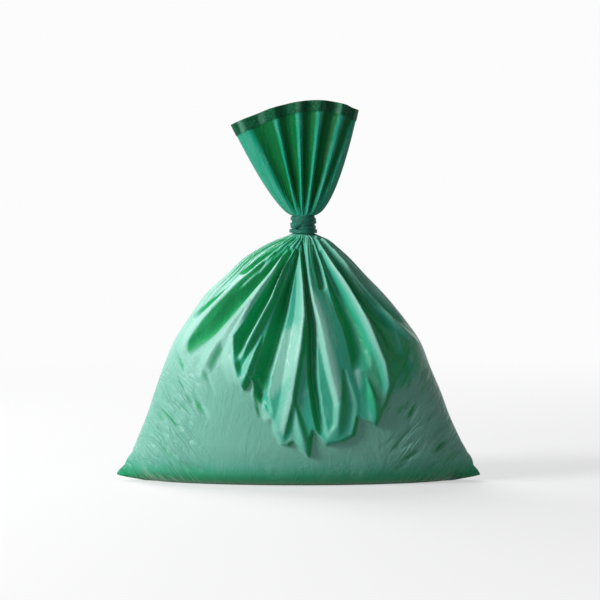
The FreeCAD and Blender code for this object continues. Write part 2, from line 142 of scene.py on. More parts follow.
# Places on the front painted deep green as shade, though they face the light
SHADED_FACES = [
    [
        (22, 294), (38, 264), (57, 232), (77, 194), (97, 150), (102, 122), (76, 140), (70, 166),
        (62, 195), (37, 254),
    ],
    [
        (76, 140), (97, 148), (102, 120), (99, 94), (91, 78), (80, 100), (72, 116),
    ],
]
# Outline of the film on the right beside the apron, which faces away from the window light and is painted
# with shade
RIGHT_SHADED_SHOULDER = [
    (24, 300), (62, 258), (100, 222), (130, 192), (150, 170), (147, 142), (130, 124), (108, 112),
    (101, 147), (81, 193), (41, 263),
]
# Outline of the apron on the back
BACK_APRON = [
    (-8, 300), (-36, 254), (-68, 200), (-90, 160), (-97, 130), (-91, 108), (-76, 116), (-60, 92),
    (-38, 70), (-20, 92), (0, 78), (22, 58), (38, 84), (56, 86), (74, 100), (89, 90), (98, 128),
    (90, 160), (66, 200), (38, 254), (16, 300),
]

# Channels between the ridges of the mouth: middle and half width as shares of the spread, and depth in mm
MOUTH_FRONT = [
    (-0.66, 0.23, 6.5),
    (-0.27, 0.18, 7.5),
    (0.11, 0.17, 6.5),
    (0.51, 0.20, 7.0),
    (0.88, 0.13, 3.5),
]
MOUTH_BACK = [
    (-0.70, 0.22, 6.0),
    (-0.26, 0.20, 7.0),
    (0.14, 0.17, 6.0),
    (0.50, 0.18, 7.0),
    (0.85, 0.13, 3.5),
]

# Size of the visual grids, and how much closer their lines stand at the front and the back, and at the neck
# and the floor
COLUMNS = 480
BODY_ROWS = 200
MOUTH_ROWS = 90
COLUMN_CROWDING = 0.35
ROW_CROWDING = 0.05

# Shape of the folds
FOLD_START_WIDTH = 0.30     # share of its width that a fold has where it leaves the neck
FOLD_START_HEIGHT = 0.35    # and of its height
FULL_WIDTH_AT = 0.55        # shares of a fold's length at which it has its whole width
FULL_HEIGHT_AT = 0.35       # and its whole height
HIGHLIGHTED_HEIGHT = 0.6        # folds from this height on get a sharp painted highlight along their crest
CREST_LINE_OFFSET = 0.6     # mm that this line lies to the left of the crest
CREST_LINE_WIDTH = 1.5      # mm

# Shape of the belly
PINCH = 0.35                # how much sharper its section gets towards the weld corners
# Pull of the weld corners: share of the way down the film, and share of EAR_REACH there
EAR_LEVELS = [(0.86, 0.0), (0.91, 0.35), (0.955, 1.0), (1.0, 0.35)]
PLEAT_HEIGHT = 2.6          # mm
FINE_PLEAT_HEIGHT = 0.8     # mm
SWELL_HEIGHT = 1.2          # mm

# Short creases near the weld corners: side and number, then ranges in mm. Depths are shares of FOLD_DEPTH.
CREASE_COUNTS = ((1, 46), (-1, 26))
CREASE_LEVELS = (12.0, 140.0)
CREASE_INNERMOST = 98.0
CREASE_OUTERMOST = 196.0    # at the floor
CREASE_NARROWING = 0.42     # mm that the outermost place moves inward for each mm up
CREASE_LENGTHS = (16.0, 46.0)
CREASE_WIDTHS = (1.8, 3.0)
CREASE_DEPTHS = (0.07, 0.17)
CREASE_SLACK_SIDE = 2.2     # one side of a crease is this many times as wide as the other
CREASE_TILT = 24.0          # degrees at the floor
CREASE_TILT_RISE = 0.36     # degrees more for each mm up
CREASE_TILT_SPREAD = 10.0   # degrees either way

# Where things fade in or out on the belly: a start or an end, and a width. Facing is 1 in the middle of the
# front and the back, sideways is 1 at both sides, and down is the share of the way down the film.
FOLDS_FACING = (0.02, 0.20)
CREASES_FACING = (0.04, 0.30)
TURNED_FACING = (0.12, 0.45)
APRON_DOWN = (0.12, 0.30)
NECK_DOWN = (0.0, 0.02)
SHEEN_SIDEWAYS = (0.30, 0.35)
SHEEN_DOWN_START = (0.10, 0.15)
SHEEN_DOWN_END = (0.66, 0.30)
TIE_GREEN_DOWN = (0.22, 0.16)
TIE_GREEN_SIDEWAYS = (0.86, 0.35)
CREASED_OUTWARD = (95.0, 60.0)    # mm from the middle
CREASED_UP = (175.0, 70.0)        # mm from the floor

# Shape of the mouth, as shares of its spread and of its length
MOUTH_LEAN = 0.135          # both sides lean to the left
RIM_TILT = 0.064            # the rim stands higher on the right
RIM_FALL = 0.142            # and lower at both sides than in the middle
MOUTH_PLEAT_HEIGHT = 1.3    # mm
HEM_STEP = 0.8              # mm that the hem stands proud of the mouth
HEM_EDGE = 1.2              # mm over which it rises

# The fold mark runs from -1 on the palest film to 1 on the deepest green, and holds painted shade and
# painted highlights beside the depth of the folds. This is what counts in it.
WHOLE_FOLD = 22.0           # mm below the plain belly
WHOLE_CREASE = 11.0         # mm, for the short creases, which are painted as shade on the right side only
GATHERS_MARK = 0.6
FACING_SHADE_MARK = 0.8           # painted shade on the sides of folds that face away from the window light, and painted light on those that face it
SHOULDER_SHADE_MARK = 0.42        # painted shade on the film to the right of the apron
FLOOR_SHADE_MARK = 0.62           # painted shade on the film near the floor
FLOOR_BAND = 46.0           # mm above the floor that count as near
SHEEN_MARK = 0.9             # pale painted sheen on the upper sides of the belly, and on the highlight faces
CREST_HIGHLIGHT_MARK = 1.1            # painted highlights along the crests, also pale
LEAST_SHADE = 0.28           # the least mark of the painted shade on these faces
ZONE_GREEN_AND_SHADE = 0.9            # how green the film is near the tie, and how strong the painted shade near the floor
APRON_GREEN = 3.0           # how fast it gets green across the apron's edge
FACE_EDGE = 9.0             # mm over which the painted highlight and shade faces fade
SHOULDER_EDGE = 22.0        # mm over which the shoulder fades

# Colours of the hem, of the tie and of the floor
HEM_DARK = (0.001, 0.040, 0.012, 1.0)
HEM_PALE = (0.006, 0.170, 0.075, 1.0)
# painted highlights on the hem
HEM_GLINT = (0.160, 0.420, 0.300, 1.0)
TIE_DARK = (0.001, 0.050, 0.034, 1.0)
TIE_PALE = (0.030, 0.250, 0.180, 1.0)
FLOOR_UNDER_BAG = (0.45, 0.45, 0.46, 1.0)    # what the floor throws back onto the bag
FLOOR_SEEN = (0.80, 0.80, 0.81, 1.0)
PLAIN_WHITE = (1.0, 1.0, 1.0, 1.0)

FLOOR_HALF = 30.0           # half the floor's side in metres
FLOOR_GLOW = 0.50           # share of plain white in the floor's look, so that its shadow stays faint
WHITE = 0.97                # brightness of the background where it is seen
WORLD_LIGHT = 0.08          # and of the light that it gives
# Name, place, size in metres and power in watts of each lamp, and the place that all of them face
LAMPS = [
    ("key", (-2.3, -1.3, 1.4), (1.1, 1.1), 88.0),
    ("front", (-0.9, -3.0, 1.6), (1.6, 1.0), 8.0),
    ("behind", (-0.9, 1.5, 2.2), (1.4, 1.4), 55.0),
]
LAMP_TARGET = (0.0, 0.0, 0.2)


def smooth(x):
    """Rises from 0 to 1 as x does, level at both ends."""
    x = np.clip(x, 0.0, 1.0)
    return x * x * (3.0 - 2.0 * x)


def rises(x, start, width):
    """0 up to a start, and 1 from a width further on."""
    return smooth((x - start) / width)


def falls(x, end, width):
    """1 up to a width before an end, and 0 from the end on."""
    return smooth((end - x) / width)


def curve_through(table, x):
    """Smooth reading of a table of (x, y) pairs with rising x, level wherever the values turn."""
    xs, ys = (np.array(column, dtype=float) for column in zip(*table))
    steps = np.diff(ys) / np.diff(xs)
    both = steps[:-1] * steps[1:]
    total = np.where(np.abs(steps[:-1] + steps[1:]) < 1e-12, 1.0, steps[:-1] + steps[1:])
    inner = np.where(both > 0.0, 2.0 * both / total, 0.0)
    slopes = np.concatenate([steps[:1], inner, steps[-1:]])
    x = np.clip(x, xs[0], xs[-1])
    i = np.clip(np.searchsorted(xs, x, side="right") - 1, 0, len(steps) - 1)
    span = xs[i + 1] - xs[i]
    q = (x - xs[i]) / span
    return (
        ys[i] * (1 + 2 * q) * (1 - q) ** 2
        + slopes[i] * span * q * (1 - q) ** 2
        + ys[i + 1] * q * q * (3 - 2 * q)
        + slopes[i + 1] * span * q * q * (q - 1)
    )


def station_table(column, neck_value, scale):
    """One column of STATIONS in mm, as pairs with the share of the way down. The neck has its own value."""
    return [(s[0], neck_value if s[column] is None else s[column] * scale) for s in STATIONS]


HEIGHTS = station_table(1, TIE_LEVEL, TIE_LEVEL)
LEFTS = station_table(2, NECK_SHIFT - NECK_RADIUS, HALF_WIDTH)
RIGHTS = station_table(3, NECK_SHIFT + NECK_RADIUS, HALF_WIDTH)
DEPTHS = station_table(4, NECK_RADIUS, HALF_DEPTH)


def ring_bearings(count):
    """Bearings of the columns, closer together on the front and the back."""
    even = np.linspace(0.0, 2 * math.pi, count, endpoint=False)
    return even + COLUMN_CROWDING * np.sin(2 * even) / 2


def normals_of(points):
    """Outward direction at each point of a grid of rings (rows from low to high, columns closed)."""
    round_it = np.roll(points, -1, axis=1) - np.roll(points, 1, axis=1)
    up_it = np.gradient(points, axis=0)
    out = np.cross(up_it, round_it)
    out /= np.maximum(np.linalg.norm(out, axis=2, keepdims=True), 1e-9)
    return out


def rolling(bearing, waves, seed):
    """A smooth random wave round the bag, between about -1 and 1."""
    rng = np.random.default_rng(seed)
    total = np.zeros_like(bearing)
    for wave in waves:
        total += np.cos(wave * bearing + rng.uniform(0, 2 * math.pi)) * rng.uniform(0.6, 1.0)
    return total / math.sqrt(len(waves))


def plain_belly(bearing, down):
    """The belly without folds: a rounded section, pinched towards the weld corners near the floor."""
    z, left, right, depth = (curve_through(t, down) for t in (HEIGHTS, LEFTS, RIGHTS, DEPTHS))
    middle, half = (left + right) / 2, (right - left) / 2
    pinch = 1.0 + PINCH * rises(down, 0.70, 0.25)
    out = np.sin(bearing)
    y = -np.sign(out) * np.abs(out) ** pinch * depth
    return np.stack([middle + half * np.cos(bearing), y, z + 0.0 * bearing], axis=2)


def ear_pull(bearing, down):
    """How far the weld corner draws the film out along X."""
    side = np.where(np.cos(bearing) > 0.0, 1.0, -1.0)
    off_axis = np.abs(np.arctan2(np.sin(bearing), side * np.cos(bearing)))
    tip = np.maximum(0.0, 1.0 - off_axis / EAR_HALF_ANGLE) ** 2
    level = np.interp(down, *zip(*EAR_LEVELS))
    return side * EAR_REACH * tip * level


def line_distance(x, z, line):
    """Distance in mm from each place to a line, and the share of the line passed there.

    The distance is above 0 to the left of a line that runs down, and to the right of one that runs up.
    """
    best = np.full(x.shape, 1e9)
    share = np.zeros(x.shape)
    lengths = [math.dist(a, b) for a, b in zip(line, line[1:])]
    passed = 0.0
    for (a, b), length in zip(zip(line, line[1:]), lengths):
        dx, dz = (b[0] - a[0]) / length, (b[1] - a[1]) / length
        along = np.clip((x - a[0]) * dx + (z - a[1]) * dz, 0.0, length)
        away = np.hypot(x - a[0] - along * dx, z - a[1] - along * dz)
        on_left = (x - a[0]) * dz - (z - a[1]) * dx > 0.0
        nearer = away < np.abs(best)
        share = np.where(nearer, (passed + along) / sum(lengths), share)
        best = np.where(nearer, np.where(on_left, away, -away), best)
        passed += length
    return best, share


def growing(share, least, full_at):
    """From a least value where a fold starts up to 1 at a share of its length."""
    return least + (1.0 - least) * rises(share, 0.0, full_at)


def fold_relief(points, folds):
    """Height of the listed folds over each place, in mm."""
    x, z = points[..., 0], points[..., 2]
    relief = np.zeros(x.shape)
    rounding = math.hypot(1.0, CREST_ROUND) - CREST_ROUND
    for line, left_width, right_width, height in folds:
        away, share = line_distance(x, z, line)
        spread = growing(share, FOLD_START_WIDTH, FULL_WIDTH_AT)
        q = np.abs(away) / (np.where(away > 0.0, left_width, right_width) * spread)
        rounded = np.clip((np.sqrt(q * q + CREST_ROUND ** 2) - CREST_ROUND) / rounding, 0.0, 1.0)
        q = np.clip(q, 0.0, 1.0)
        profile = 1.0 - q * q if height < 0.0 else (1.0 - rounded) ** 1.15
        along = growing(share, FOLD_START_HEIGHT, FULL_HEIGHT_AT) * (1.0 - share ** 7)
        relief += FOLD_DEPTH * height * along * profile
    return relief


def crest_highlights(points, folds):
    """1 along the crests of the taller folds, where a pale highlight is painted, and 0 away from them."""
    lines = np.zeros(points.shape[:2])
    for line, _, _, height in folds:
        if height >= HIGHLIGHTED_HEIGHT:
            away, share = line_distance(points[..., 0], points[..., 2], line)
            across = np.exp(-((away - CREST_LINE_OFFSET) / CREST_LINE_WIDTH) ** 2)
            lines = np.maximum(lines, across * rises(share, 0.0, 0.2) * (1.0 - share ** 6))
    return lines


def share_inside(points, outline, edge=APRON_EDGE):
    """1 inside an outline and 0 outside it, with an edge that is soft over some mm."""
    x, z = points[..., 0], points[..., 2]
    nearest = np.full(x.shape, 1e9)
    inside = np.zeros(x.shape, dtype=bool)
    for (x0, z0), (x1, z1) in zip(outline, outline[1:] + outline[:1]):
        nearest = np.minimum(nearest, np.abs(line_distance(x, z, [(x0, z0), (x1, z1)])[0]))
        crosses = (z0 > z) != (z1 > z)
        inside ^= crosses & (x < x0 + (x1 - x0) * (z - z0) / ((z1 - z0) or 1.0))
    return smooth(np.where(inside, nearest, -nearest) / edge + 0.5)


def short_creases(seed):
    """Short creases that run up and outwards from the weld corners, more on the right, listed like folds."""
    rng = np.random.default_rng(seed)
    creases = []
    for side, count in CREASE_COUNTS:
        for _ in range(count):
            z = rng.uniform(*CREASE_LEVELS)
            x = rng.uniform(CREASE_INNERMOST, CREASE_OUTERMOST - CREASE_NARROWING * z)
            spread = rng.uniform(-CREASE_TILT_SPREAD, CREASE_TILT_SPREAD)
            tilt = math.radians(CREASE_TILT + CREASE_TILT_RISE * z + spread)
            length = rng.uniform(*CREASE_LENGTHS)
            end = (side * (x + length * math.cos(tilt)), z + length * math.sin(tilt))
            width = rng.uniform(*CREASE_WIDTHS)
            depth = rng.uniform(*CREASE_DEPTHS)
            creases.append(([(side * x, z), end], width, CREASE_SLACK_SIDE * width, -depth))
    return creases


def crease_relief(points, creases):
    """Height of short creases over each place, fading at both of their ends."""
    x, z = points[..., 0], points[..., 2]
    relief = np.zeros(x.shape)
    for line, left_width, right_width, height in creases:
        away, share = line_distance(x, z, line)
        q = np.clip(np.abs(away) / np.where(away > 0.0, left_width, right_width), 0.0, 1.0)
        relief += FOLD_DEPTH * height * (1.0 - q) ** 1.3 * np.sin(math.pi * share)
    return relief


def shading_by_facing(x, lift):
    """How far a side of the folds faces right, away from the window light, and below 0 where it faces left:
    painted shade on the sides that face right and painted light on those that face left.
    """
    across = np.roll(x, -1, axis=1) - np.roll(x, 1, axis=1)
    across = np.where(across < 0.0, np.minimum(across, -1.0), np.maximum(across, 1.0))
    slope = (np.roll(lift, -1, axis=1) - np.roll(lift, 1, axis=1)) / across
    return np.clip(-slope, -0.5, 1.2)


def out_of_folds(fold_and_painted_light):
    """1 where the film isn't in a fold, and 0 from a quarter of a whole mark on."""
    return np.clip(1.0 - 4.0 * np.maximum(fold_and_painted_light, 0.0), 0.0, 1.0)


def film_places(bearing, along):
    """Where each point lies on the film: round it, as a point of a circle, and along it."""
    return np.stack(np.broadcast_arrays(np.cos(bearing), np.sin(bearing), along), axis=2)


class Belly:
    """The film below the tie: its grid, the relief on it and its marks."""

    def __init__(self):
        down = np.linspace(1.0, 0.0, BODY_ROWS)[:, None]
        self.down = down - ROW_CROWDING * np.sin(2 * math.pi * down) / 2
        self.bearing = ring_bearings(COLUMNS)[None, :]
        self.front = np.sin(self.bearing) >= 0.0
        self.facing = np.abs(np.sin(self.bearing))      # 1 in the middle of the front and of the back
        self.sideways = np.abs(np.cos(self.bearing))    # 1 at both sides
        self.plain = plain_belly(self.bearing, self.down)
        self.folds = self.by_side(fold_relief, FRONT_FOLDS, BACK_FOLDS) * rises(self.facing, *FOLDS_FACING)
        self.creases = self.by_side(crease_relief, short_creases(12), short_creases(31))
        self.creases = self.creases * rises(self.facing, *CREASES_FACING)
        self.over = self.by_side(share_inside, FRONT_APRON, BACK_APRON)
        starts = rises(self.down, *NECK_DOWN)
        self.gathers = starts * self.pleats()
        apron = self.over * rises(self.down, *APRON_DOWN) * APRON_STEP
        self.lift = self.folds * starts + self.creases + apron + self.gathers + self.swell()
        self.points = self.plain + normals_of(self.plain) * self.lift[..., None]
        self.points[..., 0] += ear_pull(self.bearing, self.down)
        self.points[0, :, 2] = 0.0
        self.points[..., 2] = np.maximum(self.points[..., 2], 0.0)

    def by_side(self, measure, front_table, back_table):
        """A measure of the plain belly, taken with one table on its front and with the other on its back."""
        return np.where(self.front, measure(self.plain, front_table), measure(self.plain, back_table))

    def pleats(self):
        """Height of the gathers under the tie, in mm: wider ones, and fine ones close to the neck."""
        wide = np.abs(rolling(self.bearing + 0.05 * self.down, [11, 17, 23, 29], seed=4)) - 1.6
        fine = np.abs(rolling(self.bearing, [37, 43, 53, 61], seed=9)) - 1.4
        near_neck = np.exp(-(self.down / 0.13) ** 1.3)
        return PLEAT_HEIGHT * wide * np.exp(-(self.down / 0.24) ** 2) + FINE_PLEAT_HEIGHT * fine * near_neck

    def swell(self):
        """Height in mm of the slow swell of the belly, which ends before the floor."""
        wave = SWELL_HEIGHT * rolling(self.bearing + 1.5 * self.down, [3, 5, 7], seed=2)
        return wave * rises(self.down, 0.0, 0.4) * falls(self.down, 1.0, 0.15)

    def on_front(self, outline, edge):
        """1 inside an outline on the front of the bag."""
        return np.where(self.front, share_inside(self.points, outline, edge), 0.0)

    def fold_and_light_mark(self, shoulder_shade, floor_shade):
        """How far towards dark green or towards pale the film looks, from -1 to 1: the depth of the folds,
        with painted shade and painted highlights.
        """
        x = self.points[..., 0]
        # painted shade and light by which way the folds' sides face
        facing_shade = shading_by_facing(self.plain[..., 0], self.lift) * rises(self.facing, *TURNED_FACING)
        # painted shade on the film right of the apron and near the floor
        painted_shade = SHOULDER_SHADE_MARK * shoulder_shade + FLOOR_SHADE_MARK * floor_shade ** 2
        fold_and_painted_light = -(self.folds + GATHERS_MARK * self.gathers) / WHOLE_FOLD + FACING_SHADE_MARK * facing_shade + painted_shade
        # painted shade in the short creases on the right, away from the window light; those on the left stay
        # pale
        fold_and_painted_light = fold_and_painted_light - np.where(x > 0.0, self.creases / WHOLE_CREASE, 0.0)
        # painted sheen: both upper sides of the belly are painted paler, for the light that glances off them
        painted_sheen = rises(self.sideways, *SHEEN_SIDEWAYS) * rises(self.down, *SHEEN_DOWN_START)
        painted_sheen = painted_sheen * falls(self.down, *SHEEN_DOWN_END)
        fold_and_painted_light = fold_and_painted_light - SHEEN_MARK * painted_sheen * (1.0 - shoulder_shade) * out_of_folds(fold_and_painted_light)
        # painted highlights on these faces
        for outline in HIGHLIGHT_FACES:
            fold_and_painted_light = fold_and_painted_light - SHEEN_MARK * self.on_front(outline, FACE_EDGE) * out_of_folds(fold_and_painted_light)
        # painted shade on these faces
        for outline in SHADED_FACES:
            fold_and_painted_light = fold_and_painted_light + self.on_front(outline, FACE_EDGE) * (np.maximum(fold_and_painted_light, LEAST_SHADE) - fold_and_painted_light)
        # painted highlights along the crests
        fold_and_painted_light = fold_and_painted_light - CREST_HIGHLIGHT_MARK * self.by_side(crest_highlights, FRONT_FOLDS, BACK_FOLDS)
        return np.clip(fold_and_painted_light, -1.0, 1.0)

    def marks(self):
        """Marks for the material: dark green or pale, with painted shade and painted highlights in it, how
        green the loose film is, with painted shade near the floor and right of the apron, and where fine
        creases run.
        """
        x, z = np.abs(self.points[..., 0]), self.points[..., 2]
        # painted shade on the film right of the apron, away from the window light
        shoulder_shade = self.on_front(RIGHT_SHADED_SHOULDER, SHOULDER_EDGE)
        # painted shade along the foot of the bag, where it meets the floor
        floor_shade = ZONE_GREEN_AND_SHADE * falls(z, FLOOR_BAND, FLOOR_BAND)
        near_tie = ZONE_GREEN_AND_SHADE * falls(self.down, *TIE_GREEN_DOWN) * falls(self.sideways, *TIE_GREEN_SIDEWAYS)
        # the shaded film right of the apron is also painted in the greener loose colour
        loose = np.maximum(np.minimum(1.0, APRON_GREEN * self.over), shoulder_shade)
        return {
            "fold_and_painted_light": self.fold_and_light_mark(shoulder_shade, floor_shade),
            # near the floor this green is painted shade
            "green": np.maximum(loose, np.maximum(floor_shade, near_tie)),
            "creased": rises(x, *CREASED_OUTWARD) * falls(z, *CREASED_UP),
        }


def mouth_channels(bearing, up):
    """Depth in mm of the channels between the mouth's ridges, and of its fine pleats."""
    share = np.cos(bearing)
    channel = np.zeros(np.broadcast(share, up).shape)
    for table, side in ((MOUTH_FRONT, 1.0), (MOUTH_BACK, -1.0)):
        for middle, half_width, depth in table:
            away = np.abs(share - middle * (0.75 + 0.25 * up)) / (half_width * (0.80 + 0.20 * up))
            here = depth * smooth(1.08 - away)
            channel = np.maximum(channel, np.where(np.sin(bearing) * side >= 0.0, here, 0.0))
    channel = channel * np.minimum(1.0, up / 0.3) ** 0.8
    fine = np.abs(rolling(bearing, [19, 29, 41, 53], seed=21)) - 0.8
    return channel + MOUTH_PLEAT_HEIGHT * fine * rises(up, 0.0, 0.05) * (1.0 - up) ** 2


def shaped_mouth(inward=0.0):
    """The film above the tie, on its outer side or moved inward by a wall, and its marks."""
    bearing = ring_bearings(COLUMNS)[None, :]
    up = np.linspace(0.0, 1.0, MOUTH_ROWS)[:, None]
    share = np.cos(bearing)
    lean = -MOUTH_LEAN * MOUTH_SPREAD * share ** 2 * up
    half = NECK_RADIUS + (MOUTH_SPREAD - NECK_RADIUS) * up ** (0.64 - 0.04 * share)
    rise = MOUTH_LENGTH * (1.0 + RIM_TILT * share - RIM_FALL * share ** 2)
    y = np.sin(bearing) * (NECK_RADIUS + (MOUTH_DEPTH - NECK_RADIUS) * up ** 0.7)
    channel = mouth_channels(bearing, up)
    out = np.stack([share / half, np.sin(bearing) / MOUTH_DEPTH + 0.0 * half, 0.0 * half], axis=2)
    out /= np.linalg.norm(out, axis=2, keepdims=True)
    reach = channel + inward
    points = np.stack(
        [
            NECK_SHIFT + share * half + lean - out[..., 0] * reach,
            -(y - out[..., 1] * reach),
            TIE_LEVEL + TIE_HEIGHT + rise * up,
        ],
        axis=2,
    )
    # the channel floors of the mouth are painted deep as shade, the ridges between them a little paler
    marks = {"fold_and_painted_light": np.clip(channel / 4.0 - 0.15, -1.0, 1.0), "green": np.ones(channel.shape)}
    return points, film_places(bearing, up), marks


def grid_object(name, rows, closed_cap, places, marks):
    """A mesh from rings of points in mm, with its places on the film and a float attribute for each mark."""
    count, columns = rows.shape[:2]
    mesh = bpy.data.meshes.new(name)
    points = (rows.reshape(-1, 3) * MM).tolist()
    faces = []
    for j in range(count - 1):
        for i in range(columns):
            k = (i + 1) % columns
            faces.append((j * columns + i, (j + 1) * columns + i, (j + 1) * columns + k, j * columns + k))
    if closed_cap:
        faces.append(tuple(range(columns)))
    mesh.from_pydata(points, [], faces)
    film = mesh.attributes.new("film", "FLOAT_VECTOR", "POINT")
    film.data.foreach_set("vector", places.reshape(-1).astype(np.float32))
    for mark, values in marks.items():
        attribute = mesh.attributes.new(mark, "FLOAT", "POINT")
        attribute.data.foreach_set("value", values.reshape(-1).astype(np.float32))
    mesh.polygons.foreach_set("use_smooth", [len(p.vertices) == 4 for p in mesh.polygons])
    obj = bpy.data.objects.new(name, mesh)
    bpy.context.collection.objects.link(obj)
    return obj


class Nodes:
    """Short ways to add shader nodes to a material or a world."""

    def __init__(self, owner, shader="Principled BSDF"):
        owner.use_nodes = True
        self.owner = owner
        self.tree = owner.node_tree
        self.shader = self.tree.nodes[shader]

    def add(self, kind, **inputs):
        node = self.tree.nodes.new(kind)
        for key, value in inputs.items():
            self.feed(node.inputs[key.replace("_", " ")], value)
        return node

    def feed(self, socket, value):
        if isinstance(value, bpy.types.NodeSocket):
            self.tree.links.new(value, socket)
        else:
            socket.default_value = value

    def math(self, operation, *values):
        node = self.tree.nodes.new("ShaderNodeMath")
        node.operation = operation
        for socket, value in zip(node.inputs, values):
            self.feed(socket, value)
        return node.outputs[0]

    def clamped(self, value, factor, offset):
        """A value times a factor, plus an offset, kept between 0 and 1."""
        scaled = self.math("MULTIPLY_ADD", value, factor, offset)
        return self.math("MINIMUM", self.math("MAXIMUM", scaled, 0.0), 1.0)

    def mix(self, share, first, second):
        node = self.tree.nodes.new("ShaderNodeMix")
        node.data_type = "RGBA"
        for socket, value in ((node.inputs[0], share), (node.inputs[6], first), (node.inputs[7], second)):
            self.feed(socket, value)
        return node.outputs[2]

    def mark(self, name, output="Fac"):
        node = self.tree.nodes.new("ShaderNodeAttribute")
        node.attribute_name = name
        return node.outputs[output]

    def noise(self, place, stretch, detail, distortion=0.0):
        """A noise pattern, stretched by its scale along each axis."""
        mapped = self.add("ShaderNodeMapping", Vector=place, Scale=stretch)
        pattern = self.add("ShaderNodeTexNoise", Vector=mapped.outputs[0], Scale=1.0, Detail=detail)
        pattern.inputs["Distortion"].default_value = distortion
        return pattern.outputs["Fac"]

    def seen(self):
        """1 for rays that show a thing, directly, in gloss or through film, and 0 for the light it gives."""
        rays = self.tree.nodes.new("ShaderNodeLightPath").outputs
        indirect = self.math("MAXIMUM", rays["Is Glossy Ray"], rays["Is Transmission Ray"])
        return self.math("MAXIMUM", rays["Is Camera Ray"], indirect)


def folded_color(n, film, pale, loose, highlight_color, deep_and_shade, glint_share):
    """Pale film where it lies tight over the load, greener where it hangs loose, with painted highlights as
    random pale patches and on raised folds, and valleys darker green, partly the doubled film's own green
    and partly painted shade.
    """
    fold_and_painted_light, green = n.mark("fold_and_painted_light"), n.mark("green")
    # the valleys' dark green is partly the doubled film's own colour and partly painted shade
    valley_and_shade = n.clamped(fold_and_painted_light, 2.2, -0.2)
    # painted highlight on the raised folds
    highlight = n.math("MAXIMUM", n.math("MULTIPLY", fold_and_painted_light, -1.0), 0.0)
    # painted highlights: random pale patches that stand in for the window's reflection on the film
    glints = n.clamped(n.noise(film, (6.0, 6.0, 5.0), detail=2.0, distortion=0.8), 6.0, -3.1)
    glints = n.math("MULTIPLY", glints, n.math("MULTIPLY", green, glint_share))
    base = n.mix(green, pale, loose)
    base = n.mix(n.math("MAXIMUM", n.math("MULTIPLY", highlight, 0.7), glints), base, highlight_color)
    return n.mix(n.math("MULTIPLY", valley_and_shade, 0.9), base, deep_and_shade)


def hem_color(n, film, dashes):
    """The dark double film of the hem, with short pale dashes and blotches of painted highlight."""
    stitches = n.clamped(dashes, 5.0, -2.2)
    glint_blotches = n.clamped(n.noise(film, (3.5, 3.5, 1.0), detail=1.0), 7.0, -3.9)
    hem_glints = n.math("MULTIPLY", glint_blotches, dashes)
    return n.mix(hem_glints, n.mix(stitches, HEM_DARK, HEM_PALE), HEM_GLINT)


def slanting_creases(n, place):
    """Fine creases that run up and outwards from both weld corners."""
    axes = n.add("ShaderNodeSeparateXYZ", Vector=place).outputs
    one_side = n.add("ShaderNodeCombineXYZ", X=n.math("ABSOLUTE", axes[0]), Y=axes[1], Z=axes[2]).outputs[0]
    turn = (0.0, math.radians(48.0), 0.0)
    slanted = n.add("ShaderNodeMapping", Vector=one_side, Rotation=turn).outputs[0]
    bands = n.noise(slanted, (18.0, 40.0, 110.0), detail=2.0, distortion=0.6)
    creases = n.math("SUBTRACT", 1.0, n.math("ABSOLUTE", n.math("MULTIPLY_ADD", bands, 4.0, -2.0)))
    return n.math("POWER", n.math("MAXIMUM", creases, 0.0), 3.0)


def film_relief(n, place, film, streaks, dashes):
    """Height of the film's fine crumples, streaks, lines and creases, and of the hem's dashes."""
    wrinkles = n.noise(film, (8.0, 8.0, 4.0), detail=3.0, distortion=1.0)
    grain = n.noise(place, (320.0, 320.0, 320.0), detail=3.0)
    streak_depth = n.math("MULTIPLY_ADD", n.mark("green"), 0.12, 0.02)
    relief = n.math("MULTIPLY_ADD", wrinkles, 0.9, n.math("MULTIPLY", streaks, streak_depth))
    relief = n.math("MULTIPLY_ADD", grain, 0.08, relief)
    lines = n.noise(film, (11.0, 11.0, 13.0), detail=2.0, distortion=1.5)
    lines = n.math("ABSOLUTE", n.math("MULTIPLY_ADD", lines, 5.0, -2.5))
    relief = n.math("MULTIPLY_ADD", n.math("MINIMUM", lines, 1.0), 0.22, relief)
    crease_depth = n.math("MULTIPLY", n.mark("creased"), -1.6)
    relief = n.math("MULTIPLY_ADD", slanting_creases(n, place), crease_depth, relief)
    return n.math("MULTIPLY_ADD", dashes, n.math("MULTIPLY", n.mark("hem"), 0.4), relief)


def film_material(name, pale, loose, highlight_color, deep_and_shade, shine, frost, glint_share):
    """Thin film: a pale cloudy green, deeper where it hangs loose and in folds, with painted shade and
    painted highlights, streaked along its gathers.
    """
    n = Nodes(bpy.data.materials.new(name))
    place = n.add("ShaderNodeTexCoord").outputs["Object"]
    film = n.mark("film", "Vector")
    streaks = n.noise(film, (30.0, 30.0, 2.5), detail=4.0, distortion=0.4)
    dashes = n.noise(film, (48.0, 48.0, 70.0), detail=2.0, distortion=2.0)
    haze = n.noise(place, (9.0, 9.0, 9.0), detail=3.0)
    base = folded_color(n, film, pale, loose, highlight_color, deep_and_shade, glint_share)
    base = n.mix(n.mark("hem"), base, hem_color(n, film, dashes))
    shade = n.math("MULTIPLY_ADD", streaks, 0.12, 0.94)
    tint = n.add("ShaderNodeHueSaturation", Color=base, Value=shade)
    n.feed(n.shader.inputs["Base Color"], tint.outputs[0])
    n.feed(n.shader.inputs["Roughness"], n.math("MULTIPLY_ADD", haze, 0.30, 0.18))
    n.shader.inputs["IOR"].default_value = 1.5
    n.shader.inputs["Specular IOR Level"].default_value = shine
    n.shader.inputs["Sheen Weight"].default_value = frost
    n.shader.inputs["Sheen Roughness"].default_value = 0.35
    relief = film_relief(n, place, film, streaks, dashes)
    bump = n.add("ShaderNodeBump", Height=relief, Strength=0.5, Distance=0.002)
    n.feed(n.shader.inputs["Normal"], bump.outputs["Normal"])
    return n.owner


